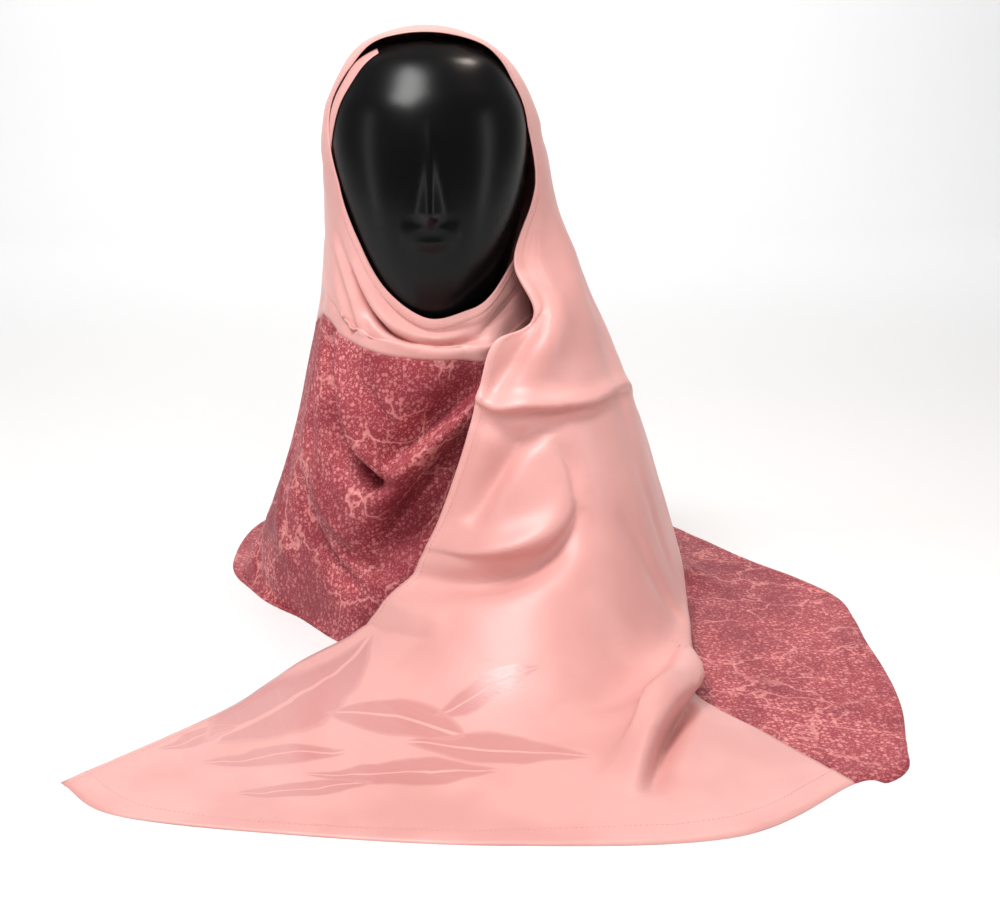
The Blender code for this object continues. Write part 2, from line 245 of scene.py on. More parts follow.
speck = namedtuple("speck", "eachMetre least reach softness")
printSettings = {
    "ground": (0.235, 0.03, 0.044),
    "groundLight": (0.34, 0.055, 0.07),
    "mottleEdge": (0.38, 0.62),
    "specks": [speck(300, 0.12, 0.34, 0.10), speck(720, 0.10, 0.42, 0.12)],
    "overlap": 0.7,
    "speck": (0.80, 0.31, 0.30),
    "speckShare": 0.78,
    "linesEachMetre": 17,
    "lineWidth": (0.008, 0.028),
    "lineBreaks": (0.40, 0.50),
    "wander": 0.055,
    "line": (0.80, 0.33, 0.31),
    "lineShare": 0.5,
    "roughness": 0.55,
    "speckGloss": 0.06,
    "threads": (1300, 90),
    "threadDepth": 0.00012,
    "specular": 0.22,
}


def speckMask(shader, place, mottle):
    specks = None
    for size in printSettings["specks"]:
        sockets = {"Vector": place, "Scale": size.eachMetre}
        distance = shader.add("ShaderNodeTexVoronoi", None, sockets)
        chance = shader.add("ShaderNodeTexVoronoi", None, sockets, 1)
        chance = shader.add("ShaderNodeSeparateColor", None, {0: chance})
        radius = size.least + size.reach * chance
        found = 1 - shader.between(0.0, size.softness, distance - radius)
        found = found * shader.between(0.25, 0.7, chance) * shader.between(0.2, 0.7, mottle)
        specks = found if specks is None else specks.most(printSettings["overlap"] * found)
    return specks


def lineMask(shader, place):  # the edges of large cells, pushed about and broken up
    use = printSettings
    sockets = {"Vector": place, "Scale": 34.0, "Detail": 3.0}
    drift = shader.add("ShaderNodeTexNoise", None, sockets, 1)
    sockets = {0: use["wander"], 4: place, 5: drift}
    wandering = shader.add("ShaderNodeMix", {"data_type": "VECTOR"}, sockets, 1)
    sockets = {"Vector": wandering, "Scale": use["linesEachMetre"]}
    edges = shader.add("ShaderNodeTexVoronoi", {"feature": "DISTANCE_TO_EDGE"}, sockets)
    lines = 1 - shader.between(*use["lineWidth"], edges)
    return lines * shader.between(*use["lineBreaks"], shader.cloud(place, 13, 2))


def printMaterial(name):
    use, shader = printSettings, Shader(name)
    place, cloth = shader.place(), shader.cloth()
    mottle = 0.5 * shader.cloud(place, 26, 3) + 0.5 * shader.cloud(place, 9, 2)
    colour = shader.mix(
        shader.between(*use["mottleEdge"], mottle), use["ground"], use["groundLight"]
    )
    specks = speckMask(shader, place, mottle)
    colour = shader.mix(use["speckShare"] * specks, colour, use["speck"])
    colour = shader.mix(use["lineShare"] * lineMask(shader, place), colour, use["line"])
    return shader.finish({
        "Base Color": colour,
        "Roughness": use["roughness"] - use["speckGloss"] * specks,
        "Normal": shader.bump(shader.threads(cloth, *use["threads"]), use["threadDepth"]),
        "Specular IOR Level": use["specular"],
    })


glossSettings = {
    "dark": (0.002, 0.002, 0.0022),
    "hazy": (0.004, 0.0038, 0.004),
    "roughness": 0.24,
    "unevenRoughness": 0.08,
    "waves": 0.0006,
    "dust": 0.02,
    "specular": 0.2,
}


def glossMaterial(name):
    use, shader = glossSettings, Shader(name)
    place = shader.place()
    haze, dust = shader.cloud(place, 14, 3), shader.cloud(place, 700, 2)
    return shader.finish({
        "Base Color": shader.mix(haze, use["dark"], use["hazy"]),
        "Roughness": use["roughness"] + use["unevenRoughness"] * haze,
        "Normal": shader.bump(haze + use["dust"] * dust, use["waves"], 0.35),
        "Specular IOR Level": use["specular"],
    })


def threadMaterial(name, colour):
    shader = Shader(name)
    twist = shader.cloud(shader.place(), 2500, 1)
    return shader.finish({
        "Base Color": shader.mix(twist, colour, tuple(0.8 * c for c in colour)),
        "Roughness": 0.6,
        "Sheen Weight": 0.2,
    })


plainSatin = satinMaterial("plainSatin")
printedSatin = printMaterial("printedSatin")
glossBlack = glossMaterial("glossBlack")
pinkThread = threadMaterial("pinkThread", (0.74, 0.36, 0.33))
roseThread = threadMaterial("roseThread", (0.38, 0.08, 0.10))
print("materials made")

# The cloth's net: sections from the chin round the back to the laid-out end

section = namedtuple("section", "edge near mid far fold seam sway foot hem")
seamColumn, hemColumn = 5, 8


def shortSection(edge, seam, sway, foot, hem):  # the plain part is one short drop
    parts = [k / seamColumn for k in range(1, seamColumn)]
    drop = [tuple(a + (b - a) * part for a, b in zip(edge, seam)) for part in parts]
    return section(edge, *drop, seam, sway, foot, hem)


# millimetres: right, back, up
wrapSections = [
    shortSection((75, -24, 310), (80, -36, 238), (82, -44, 130), (82, -56, 8), (82, -58, 0)),
    shortSection((46, -67, 271), (46, -86, 224), (48, -100, 124), (46, -112, 8), (46, -115, 0)),
    shortSection((24, -76, 259), (22, -90, 225), (22, -105, 126), (18, -117, 8), (18, -120, 0)),
    shortSection((-4, -79, 255), (-8, -92, 226), (-12, -105, 128), (-18, -117, 8), (-18, -120, 0)),
    shortSection((-34, -71, 276), (-42, -85, 230), (-50, -96, 126), (-66, -98, 7), (-68, -101, 0)),
    shortSection((-54, -59, 311), (-68, -58, 238), (-86, -56, 128), (-110, -37, 6), (-113, -36, 0)),
    shortSection((-68, -43, 350), (-86, -12, 248), (-112, -4, 130), (-150, 20, 5), (-154, 22, 0)),
]
backSections = [
    section((-75, -19, 402), (-84, 8, 385), (-84, 34, 355), (-84, 46, 318), (-86, 48, 275),
            (-92, 48, 226), (-122, 62, 108), (-168, 90, 6), (-182, 98, 0)),
    section((-50, -23, 449), (-62, 22, 443), (-65, 62, 408), (-66, 88, 350), (-68, 98, 270),
            (-80, 106, 185), (-108, 128, 80), (-142, 160, 2), (-168, 225, 0)),
    section((-20, -25, 462), (-22, 28, 464), (-25, 76, 428), (-26, 102, 360), (-27, 112, 262),
            (-34, 122, 145), (-50, 145, 52), (-66, 192, 0), (-88, 330, 0)),
    section((16, -25, 462), (20, 28, 464), (23, 76, 428), (24, 102, 360), (26, 113, 258),
            (32, 126, 122), (44, 150, 42), (56, 194, 0), (38, 352, 0)),
    section((49, -24, 449), (61, 20, 443), (65, 60, 410), (64, 88, 352), (68, 102, 256),
            (84, 122, 104), (104, 145, 34), (124, 178, 0), (148, 305, 0)),
    section((69, -21, 414), (84, 14, 404), (90, 50, 378), (88, 80, 326), (92, 96, 236),
            (112, 114, 90), (134, 134, 28), (154, 158, 0), (198, 250, 0)),
]
fallSections = [
    section((82, -22, 352), (93, 0, 352), (101, 30, 332), (100, 64, 288), (108, 84, 208),
            (132, 104, 80), (156, 122, 24), (176, 142, 0), (221, 212, 0)),
    section((63, -61, 296), (86, -46, 299), (113, -12, 297), (121, 30, 262), (130, 66, 182),
            (156, 92, 66), (180, 108, 18), (202, 122, 0), (238, 180, 0)),
    section((76, -88, 256), (98, -78, 264), (120, -40, 268), (134, 12, 244), (142, 56, 168),
            (168, 84, 59), (193, 98, 15), (214, 110, 0), (247, 162, 0)),
    section((46, -101, 240), (88, -104, 240), (125, -64, 238), (146, -8, 220), (154, 44, 148),
            (181, 75, 50), (208, 86, 11), (228, 97, 0), (258, 142, 0)),
    section((34, -112, 205), (76, -122, 203), (118, -102, 201), (156, -45, 190), (174, 18, 122),
            (200, 52, 36), (228, 62, 6), (252, 70, 0), (285, 88, 0)),
    section((20, -120, 155), (66, -140, 153), (116, -132, 150), (162, -78, 140), (191, -8, 86),
            (210, 28, 20), (242, 38, 2), (276, 42, 0), (318, 36, 0)),
    section((-4, -126, 92), (46, -165, 98), (106, -172, 98), (162, -122, 84), (201, -36, 50),
            (209, -10, 6), (252, 4, 0), (298, 4, 0), (342, -14, 0)),
    section((-30, -130, 56), (22, -202, 54), (94, -222, 50), (160, -166, 42), (198, -86, 32),
            (205, -68, 3), (254, -52, 0), (302, -44, 0), (343, -62, 0)),
    section((-60, -126, 22), (-16, -232, 18), (66, -280, 12), (146, -228, 18), (190, -150, 26),
            (198, -136, 2), (250, -112, 0), (300, -96, 0), (339, -113, 0)),
    section((-103, -142, 4), (-62, -270, 4), (24, -330, 2), (122, -288, 8), (176, -214, 20),
            (187, -204, 1), (242, -182, 0), (298, -158, 0), (337, -168, 0)),
    section((-152, -220, 0), (-122, -322, 0), (-32, -366, 0), (84, -352, 2), (150, -296, 9),
            (228, -276, 0), (270, -250, 0), (306, -238, 0), (330, -232, 0)),
    section((-239, -321, 0), (-196, -365, 0), (-90, -393, 0), (40, -412, 0), (178, -408, 0),
            (266, -345, 0), (287, -345, 0), (306, -326, 0), (315, -292, 0)),
]
sections = wrapSections + backSections + fallSections
temple = len(wrapSections)
jaw = temple + len(backSections)
lastSection = len(sections) - 1


def withEnds(stack):  # one more row straight on at each end
    return np.concatenate([2 * stack[:1] - stack[1:2], stack, 2 * stack[-1:] - stack[-2:-1]])


def curveWeights(part):
    return (
        (-part + 2 * part**2 - part**3) / 2,
        (2 - 5 * part**2 + 3 * part**3) / 2,
        (part + 4 * part**2 - 3 * part**3) / 2,
        (-(part**2) + part**3) / 2,
    )


def smoothCurve(points, at):
    stack = withEnds(np.array(points, float))
    span = np.clip(np.floor(at).astype(int), 0, len(points) - 2)
    weights = curveWeights(at - span)
    return sum(weights[k][..., None] * stack[span + k] for k in range(4))


clothNet = withEnds(withEnds(np.array(sections, float)).transpose(1, 0, 2)).transpose(1, 0, 2)


def basePlace(s, t):  # the cloth without folds, at section s and column t
    i = np.clip(np.floor(s).astype(int), 0, lastSection - 1)
    j = np.clip(np.floor(t).astype(int), 0, hemColumn - 1)
    rows, columns = curveWeights(s - i), curveWeights(t - j)
    corners = [(a, b) for a in range(4) for b in range(4)]
    return sum((rows[a] * columns[b])[..., None] * clothNet[i + a, j + b] for a, b in corners)


# The display head: each ring is its height, half width, front and back

headSettings = {
    "rings": [
        (0, 92, 70, 70), (12, 92, 70, 70), (24, 88, 66, 67), (60, 76, 58, 60), (100, 62, 50, 54),
        (140, 53, 46, 50), (180, 49, 44, 50), (215, 48, 45, 54), (236, 47, 52, 60),
        (250, 49, 70, 66), (268, 56, 81, 74), (292, 64, 88, 85), (322, 71, 91, 94),
        (352, 76, 91, 99), (382, 78, 87, 99), (408, 75, 78, 94), (427, 67, 65, 83),
        (443, 56, 50, 68), (454, 37, 32, 47),
    ],
    "top": 460,
    "sides": 176,
    "levels": 150,
    "faceCrowding": 0.6,
    "noseTip": 333,
    "noseBrow": 402,
    "noseOut": 12,
    "noseHalfWidth": 8,
    "lipsHeight": 319,
    "lipsOut": 2.6,
    "lipsHalfWidth": 23,
    "upperLip": (4.4, 5.2),  # how far from the parting, and its half height
    "lowerLip": (-5.4, 6.0),
    "parting": 1.6,
}


def headRelief(x, height):  # the nose ridge and the two lips
    use = headSettings
    up = (height - use["noseTip"]) / (use["noseBrow"] - use["noseTip"])
    along = smoothStep(-0.13, 0.02, up) * np.clip(1 - up, 0, 1) ** 1.25
    width = use["noseHalfWidth"] * (0.5 + 0.55 * along)
    nose = use["noseOut"] * along * np.exp(-np.abs(x / width) ** 1.7)
    across = np.clip(1 - (x / use["lipsHalfWidth"]) ** 2, 0, 1)
    over = height - use["lipsHeight"]
    upper, lower = (
        np.exp(-(((over - away * across) / high) ** 2))
        for away, high in (use["upperLip"], use["lowerLip"])
    )
    parting = np.exp(-((over / use["parting"]) ** 2))
    lips = use["lipsOut"] * across * (upper + 1.1 * lower - 0.75 * parting)
    return nose + lips


def makeHead():
    use = headSettings
    rings = np.array(use["rings"], float)
    places = np.linspace(0, len(rings) - 1, use["levels"] + 1)
    height, halfWidth, front, back = smoothCurve(rings, places).T[..., None]
    angle = np.linspace(0, turn, use["sides"], endpoint=False)[None]
    angle = angle - use["faceCrowding"] * np.sin(angle)
    x = halfWidth * np.sin(angle)
    height = np.maximum(height + 0 * angle, 0)
    forward = np.cos(angle)
    y = -np.where(forward > 0, front, back) * forward
    y -= headRelief(x, height) * smoothStep(0.2, 0.6, forward)
    points = (np.stack([x, y, height], -1) * mm).reshape(-1, 3).tolist()
    sides, levels = use["sides"], use["levels"]
    faces = []
    for i in range(levels):
        for k in range(sides):
            n, low, high = (k + 1) % sides, i * sides, (i + 1) * sides
            faces.append((low + k, low + n, high + n, high + k))
    faces.append(tuple(range(sides - 1, -1, -1)))
    points.append((0, 0, use["top"] * mm))
    last = levels * sides
    faces += [(last + k, last + (k + 1) % sides, len(points) - 1) for k in range(sides)]
    return newPiece("displayHead", points, faces, glossBlack)


# Folds of the cloth: a line of (section, column) places, walked with the cloth facing us. Rise is
# out of the cloth, left and right are the widths on either side, and lean tips it to the left.

fold = namedtuple("fold", "places rise left right lean")
wrapFolds = [
    fold([(6.6, 2.0), (5.67, 2.34), (5.09, 3.03), (4.73, 3.88), (4.5, 5.0)], -5, 3.4, 9, 0),
    fold([(6.4, 1.7), (5.55, 2.1), (4.95, 2.8), (4.5, 3.8), (4.25, 5.0)], 2.4, 6, 3.4, -1),
    fold([(5.9, 1.3), (5.2, 1.75), (4.75, 2.3), (4.35, 3.3), (4.0, 5.0)], -3.0, 3.4, 5, 0),
    fold([(6.9, 2.9), (6.2, 3.3), (5.6, 4.0), (5.3, 5.0)], -2.6, 5, 7, 0),
    fold([(5.1, 1.7), (4.6, 2.0), (4.15, 2.4), (3.75, 2.85), (3.1, 3.2)], -13, 3.6, 4.4, 0),
    fold([(5.1, 1.2), (4.5, 1.5), (4.0, 1.85), (3.5, 2.3), (2.9, 2.7)], 4.0, 4, 3.4, -3),
    fold([(4.5, 2.95), (4.05, 3.3), (3.6, 3.6), (3.0, 3.8)], 2.4, 3, 4, 1.0),
    fold([(4.3, 0.5), (3.69, 1.0), (3.16, 1.35), (2.48, 1.6), (1.76, 1.75), (0.7, 1.5)],
         -4.2, 3.4, 4.4, 0),
    fold([(3.6, 1.5), (2.9, 2.0), (2.2, 2.3), (1.2, 2.3)], 2.4, 4, 3, -1),
    fold([(3.6, 2.6), (2.91, 3.0), (2.43, 3.2), (1.8, 3.2), (1.0, 3.0)], -5.5, 3.4, 3, 0),
    fold([(2.5, 2.75), (1.9, 2.6), (1.3, 2.4), (0.3, 2.0)], -5, 4, 5, 0),
    fold([(3.6, 3.9), (2.6, 4.0), (1.8, 3.95), (0.7, 3.7)], 3.0, 3.5, 5, -0.8),
    # the printed cowl: its left crease, pocket and V, then the band that rises over it
    fold([(5.45, 5.04), (5.22, 5.25), (4.88, 5.5), (4.65, 5.72), (4.38, 5.87), (3.9, 5.97)],
         -24, 6, 15, 0),
    fold([(5.3, 5.03), (5.02, 5.2), (4.7, 5.42), (4.45, 5.6), (4.15, 5.75), (3.7, 5.82)],
         6, 11, 5, -6),
    fold([(4.6, 5.86), (4.2, 5.93), (3.9, 5.98), (3.4, 5.97)], -25, 7, 6, 0),
    fold([(4.2, 5.3), (3.95, 5.44), (3.74, 5.54), (3.45, 5.68)], -7, 4.5, 9, 0),
    fold([(3.8, 5.86), (3.43, 5.76), (2.96, 5.62), (2.45, 5.48), (1.85, 5.32), (1.0, 5.1)],
         -20, 14, 6, 0),
    fold([(4.0, 6.06), (3.4, 5.92), (2.87, 5.79), (2.35, 5.64), (1.77, 5.48), (0.8, 5.22)],
         17, 5, 13, 5),
    fold([(4.15, 6.48), (3.75, 6.32), (3.3, 6.2), (2.9, 6.06), (2.4, 5.86), (1.5, 5.56)],
         -34, 13, 22, 0),
    fold([(4.6, 6.36), (4.2, 6.46), (3.86, 6.51), (3.3, 6.48)], -10, 12, 5, 0),
    fold([(5.75, 6.04), (5.26, 6.26), (4.8, 6.41), (4.36, 6.53), (3.7, 6.66)], -12, 4.5, 13, 0),
    fold([(5.6, 5.9), (5.1, 6.12), (4.6, 6.27), (4.2, 6.4)], 5.5, 10, 4.5, -3),
    fold([(6.5, 5.6), (6.3, 6.2), (5.7, 6.5), (5.0, 6.75)], 4, 10, 12, 0),
    fold([(6.4, 5.0), (5.95, 5.5), (5.55, 5.85), (5.1, 6.15)], -5, 8, 8, 0),
    fold([(6.9, 6.5), (6.5, 6.75), (6.0, 6.9), (5.0, 7.1)], -5, 10, 10, 0),
]
fallFolds = [
    fold([(15.3, 0.7), (16.04, 0.46), (16.42, 0.4), (16.73, 0.3), (17.1, 0.2)], -9, 9, 9, 0),
    fold([(13.8, 0.9), (14.76, 0.65), (15.93, 0.94), (16.72, 1.1)], 5, 14, 12, 0),
    fold([(14.2, 0.12), (14.7, 0.1), (15.2, 0.1)], 3.5, 6, 6, 0),
    fold([(17.0, -0.1), (17.17, 0.26), (17.16, 0.51), (17.08, 0.92), (17.09, 1.45), (17.06, 2.23),
          (16.85, 3.3)], 8, 7, 3.2, -4),
    fold([(17.22, 0.15), (17.27, 0.6), (17.21, 1.02), (17.21, 1.46), (17.17, 2.02), (17.05, 3.0)],
         -6.5, 3, 8, 0),
    fold([(17.35, -0.1), (17.5, 0.49), (17.55, 0.84), (17.48, 1.24), (17.4, 1.65)], -6, 9, 9, 0),
    fold([(17.35, 1.2), (17.7, 0.8), (18.02, 0.62), (18.36, 0.52), (18.75, 0.5)], -12, 10, 12, 0),
    fold([(17.6, 1.4), (17.88, 1.66), (18.19, 1.8), (18.6, 1.86)], -5, 8, 5, 0),
    fold([(19.02, -0.15), (19.03, 0.64), (18.97, 1.09), (18.84, 1.43), (18.66, 1.66), (18.3, 1.85)],
         7, 13, 4.0, -4),
    fold([(19.62, -0.1), (19.5, 0.35), (19.34, 0.81), (19.2, 1.2), (19.03, 1.5), (18.8, 1.76),
          (18.4, 1.95)], -17, 8, 15, 0),
    fold([(18.5, 2.5), (18.96, 2.87), (19.36, 3.12), (19.84, 3.37), (20.8, 3.8)], -4, 7, 12, 0),
    fold([(17.9, 2.8), (18.53, 3.19), (18.96, 3.38), (19.6, 3.6)], -2.5, 6, 9, 0),
    fold([(22.0, 4.6), (22.55, 4.2), (22.9, 4.03), (23.15, 3.88), (23.5, 3.7)], -14, 9, 8, 0),
    fold([(21.5, 4.3), (22.3, 4.08), (22.65, 3.92), (22.95, 3.78), (23.45, 3.55)], 21, 6, 20, 9),
    fold([(20.8, 2.1), (21.4, 2.7), (21.9, 3.3), (22.3, 4.0)], 5, 12, 14, 0),
    fold([(20.85, -0.1), (20.66, 0.24), (20.5, 0.41), (20.3, 0.75)], -3.2, 3.4, 3, 0),
    fold([(20.3, -0.1), (20.17, 0.33), (20.0, 0.8)], 3.5, 10, 9, 0),
    fold([(21.0, 0.7), (21.8, 1.6), (22.4, 2.5)], 2.6, 14, 12, 0),
    fold([(21.5, 0.2), (22.2, 1.0), (22.9, 1.8)], -2.4, 14, 14, 0),
    fold([(13.9, 2.2), (15.4, 2.35), (17.0, 2.6), (18.4, 2.9)], -2.6, 14, 12, 0),
    fold([(14.2, 3.1), (15.8, 3.4), (17.2, 3.6), (18.8, 3.95)], 4.0, 14, 14, 0),
    fold([(14.4, 4.0), (16.0, 4.2), (17.4, 4.4), (18.6, 4.65)], -4.0, 12, 12, 0),
]
backFolds = [
    fold([(6.6, 1.2), (7.2, 1.9), (7.6, 3.0), (7.8, 4.2)], -2.2, 7, 9, 0),
    fold([(7.0, 0.5), (7.6, 1.3), (8.2, 2.2), (8.6, 3.6)], 1.8, 9, 9, 0),
    fold([(12.6, 0.5), (12.2, 1.6), (11.9, 2.6), (11.6, 3.8)], -2.4, 8, 8, 0),
    fold([(9.0, 2.7), (9.4, 3.3), (9.7, 4.2)], -2.4, 10, 8, 0),
    fold([(11.0, 2.8), (10.6, 3.5), (10.3, 4.4)], -2.4, 8, 10, 0),
]
foldSettings = {
    "stepsEachPlace": 14,
    "reach": 3,  # how many widths out a fold still shows
    "fade": 0.75,  # how fully it stands near its ends
}
fluteSettings = {"count": 5, "depth": 7, "across": 3.4, "middle": 5.4, "down": 1.3, "start": 0.8}
clothSettings = {
    "wall": 0.9,
    "hemWall": 0.65,  # what a hem adds
    "hemStep": (1.5, 1.2),  # how soon it adds it, at the end and at the side
    "endHem": 20,
    "sideHem": 7,
    "edgeRound": 1.2,
    "seamSunk": 0.55,
    "seamWidth": 1.3,
    "headClearance": 0.9,
    "tuckRoom": 1.3,  # more clearance over the tuck
    "headReach": (125, 135),
    "uneven": 0.55,
    "unevenSizes": (46, 19),
}


def slopeNormals(points):
    along, down = np.gradient(points, axis=0), np.gradient(points, axis=1)
    normal = np.cross(along, down)
    return normal / np.linalg.norm(normal, axis=-1, keepdims=True)


def foldShift(one, points, normals):
    use, count = foldSettings, len(one.places)
    along = np.linspace(0, count - 1, use["stepsEachPlace"] * count)
    line = basePlace(*smoothCurve(one.places, along).T)
    ways = np.gradient(line, axis=0)
    ways /= np.linalg.norm(ways, axis=1, keepdims=True)
    reach = use["reach"] * max(one.left, one.right)
    near = ((points > line.min(0) - reach) & (points < line.max(0) + reach)).all(-1)
    shift = np.zeros_like(points)
    if not near.any():
        return shift
    here, up = points[near], normals[near]
    apart = here[:, None] - line
    nearest = np.linalg.norm(apart, axis=-1).argmin(axis=-1)
    offset = apart[np.arange(len(here)), nearest]
    left = np.cross(up, ways[nearest])
    width = np.where((left * offset).sum(-1) > 0, one.left, one.right)
    strength = np.sin(np.pi * (0.008 + 0.984 * nearest / (len(line) - 1))) ** use["fade"]
    strength = strength * np.exp(-((np.linalg.norm(offset, axis=-1) / width) ** 2))
    shift[near] = strength[:, None] * (one.rise * up + one.lean * left)
    return shift


def fluteRise(s, t):  # soft vertical flutes down the back
    use = fluteSettings
    overBack = np.exp(-(((s - (temple + jaw) / 2) / use["across"]) ** 2))
    hanging = np.exp(-(((t - use["middle"]) / use["down"]) ** 2))
    waves = np.cos(turn * use["count"] * (s - temple) / (jaw - temple) + use["start"])
    return use["depth"] * overBack * hanging * waves


def unevenRise(points):  # cloth is never quite smooth
    large, small = clothSettings["unevenSizes"]
    apart = Vector((7, 3, 1))
    rise = [
        noise.noise(Vector(p) / large) + 0.5 * noise.noise(Vector(p) / small + apart)
        for p in points.reshape(-1, 3)
    ]
    return clothSettings["uneven"] * np.array(rise).reshape(points.shape[:-1])


def clothLayer(s, t):  # the underside, with every fold, lying on the table where it reaches it
    points = basePlace(s, t)
    normals = slopeNormals(points)
    shift = (fluteRise(s, t) + unevenRise(points))[..., None] * normals
    overWrap = 1 - smoothStep(temple, temple + 1, s)
    overBack = smoothStep(temple - 1.6, temple - 0.4, s) * (1 - smoothStep(jaw, jaw + 1, s))
    overFall = smoothStep(jaw - 1.2, jaw - 0.2, s)
    for folds, where in ((wrapFolds, overWrap), (backFolds, overBack), (fallFolds, overFall)):
        for one in folds:
            shift += foldShift(one, points, normals) * where[..., None]
    points = points + shift
    points[..., 2] = np.maximum(points[..., 2], 0)
    return points


def clearOfHead(points, clearance):
    byHead = (np.abs(points[..., :2]) < clothSettings["headReach"]).all(-1)
    for i, j in np.argwhere(byHead):
        point = Vector(points[i, j]) * mm
        near, normal, _, _ = headTree.find_nearest(point)
        short = clearance[i, j] * mm - (point - near).dot(normal)
        if short > 0:
            points[i, j] = (point + normal * short) / mm


def edgeDistances(points):
    down = np.linalg.norm(np.diff(points, axis=1), axis=-1)
    along = np.linalg.norm(np.diff(points, axis=0), axis=-1)
    fromTop = np.concatenate([np.zeros((len(points), 1)), down.cumsum(axis=1)], axis=1)
    fromEnd = np.concatenate([along[::-1].cumsum(axis=0)[::-1], np.zeros((1, points.shape[1]))])
    return fromTop, fromEnd


def spacedSamples(stretches):  # (from, to, faces) stretches joined end to end
    rows = [np.linspace(a, b, n, endpoint=False) for a, b, n in stretches]
    return np.concatenate([*rows, [stretches[-1][1]]])


panelSettings = {
    "plainPanel": {
        "along": [
            (0, 7, 112), (7, 13, 48), (13, 16.8, 72), (16.8, 17.5, 36), (17.5, 19.2, 48),
            (19.2, 22, 52), (22, 23.5, 36), (23.5, 24, 10),
        ],
        "down": [(0, 5, 104)],
        "faceSide": True,  # its hem is at the face, and its seam at the foot
    },
    "printedPanel": {
        "along": [(0, 7, 126), (7, 13, 54), (13, 24, 120)],
        "down": [(5, 7, 90), (7, 8, 30)],
        "faceSide": False,
    },
}


def makePanel(name, material):
    use, cloth = panelSettings[name], clothSettings
    s, t = np.meshgrid(spacedSamples(use["along"]), spacedSamples(use["down"]), indexing="ij")
    under = clothLayer(s, t)
    byTuck = np.exp(-(((s - temple - 0.6) / 1.1) ** 2)) * (t < 1.2)
    clearance = cloth["headClearance"] + cloth["tuckRoom"] * byTuck
    clearOfHead(under, clearance)
    fromTop, fromEnd = edgeDistances(under)
    fromFoot = fromTop[:, -1:] - fromTop
    hemSide = fromTop if use["faceSide"] else fromFoot
    endStep, sideStep = cloth["hemStep"]
    hem = np.maximum(
        1 - smoothStep(cloth["endHem"], cloth["endHem"] + endStep, fromEnd),
        1 - smoothStep(cloth["sideHem"], cloth["sideHem"] + sideStep, hemSide),
    )
    edge = np.minimum(fromEnd, hemSide) / cloth["edgeRound"]
    seam = (fromFoot if use["faceSide"] else fromTop) / cloth["seamWidth"]
    thickness = (cloth["wall"] + cloth["hemWall"] * hem) * np.sqrt(np.clip(edge, 0.15, 1))
    thickness = thickness - cloth["seamSunk"] * np.exp(-(seam**2))
    over = under + slopeNormals(under) * thickness[..., None]
    over[..., 2] = np.maximum(over[..., 2], 0.05)
    clearOfHead(over, clearance + 0.9 * thickness)
    return closedWall(name, under, over, material), over, fromTop, fromEnd


def closedWall(name, under, over, material):
    rows, columns = under.shape[:2]
    count = rows * columns
    points = (np.concatenate([under.reshape(-1, 3), over.reshape(-1, 3)]) * mm).tolist()
    index = np.arange(count).reshape(rows, columns)
    a, b, c, d = index[:-1, :-1], index[1:, :-1], index[1:, 1:], index[:-1, 1:]
    inner = np.stack([a, d, c, b], -1).reshape(-1, 4)
    outer = np.stack([a, b, c, d], -1).reshape(-1, 4) + count
    rim = np.concatenate([index[:, 0], index[-1, 1:], index[-2::-1, -1], index[0, -2:0:-1]])
    after = np.roll(rim, -1)
    wall = np.stack([rim, after, after + count, rim + count], -1)
    faces = np.concatenate([inner, outer, wall]).tolist()
    piece = newPiece(name, points, faces, material)
    across = np.linalg.norm(np.diff(under, axis=1), axis=-1).cumsum(axis=1)
    long = np.linalg.norm(np.diff(under, axis=0), axis=-1).mean(axis=1).cumsum()
    u = np.concatenate([[0], long])[:, None] + np.zeros((1, columns))
    v = np.concatenate([np.zeros((rows, 1)), across], axis=1)
    flat = np.stack([u, v], -1).reshape(-1, 2) * mm
    layer = piece.data.uv_layers.new(name="cloth")
    corners = np.zeros(len(piece.data.loops), int)
    piece.data.loops.foreach_get("vertex_index", corners)
    layer.data.foreach_set("uv", flat[corners % count].ravel())
    return piece


head = makeHead()
headTree = BVHTree.FromPolygons(
    [v.co for v in head.data.vertices], [p.vertices for p in head.data.polygons]
)
print("display head made")
plainPanel, plainOver, plainTop, plainEnd = makePanel("plainPanel", plainSatin)
printedPanel, printOver, printTop, printEnd = makePanel("printedPanel", printedSatin)
print("panels made")

# The edge turned in at the left temple, which lies on the head inside the hood

tuckSettings = {
    "rows": [  # right, back, up, how far it goes back
        (-76, -23, 362, 9), (-75, -27, 378, 13), (-72, -32, 395, 15), (-67, -35, 412, 16),
        (-60, -36, 427, 16), (-50, -34, 440, 15), (-38, -30, 450, 11),
    ],
    "long": 70,
    "wide": 14,
    "off": 0.5,
    "wall": 1.0,
}


def makeTuck():
    use = tuckSettings
    rows = smoothCurve(use["rows"], np.linspace(0, len(use["rows"]) - 1, use["long"] + 1))
    under = np.zeros((use["long"] + 1, use["wide"] + 1, 3))
    over = under.copy()
    for i, (right, back, up, depth) in enumerate(rows):
        for k in range(use["wide"] + 1):
            near, normal, _, _ = headTree.find_nearest(
                Vector((right, back + depth * k / use["wide"], up)) * mm
            )
            edge = math.sqrt(min(1, 0.2 + k / 3))
            under[i, k] = (near + normal * use["off"] * mm) / mm
            over[i, k] = (near + normal * (use["off"] + use["wall"] * edge) * mm) / mm
    return closedWall("templeTuck", under, over, plainSatin)


templeTuck = makeTuck()

# Stitches: short threads along a line over the cloth, each sunk a little at its ends. Metres

stitchSettings = {"Pitch": 0.0032, "Length": 0.0023, "Thread": 0.0006}
seamInset = 1.8


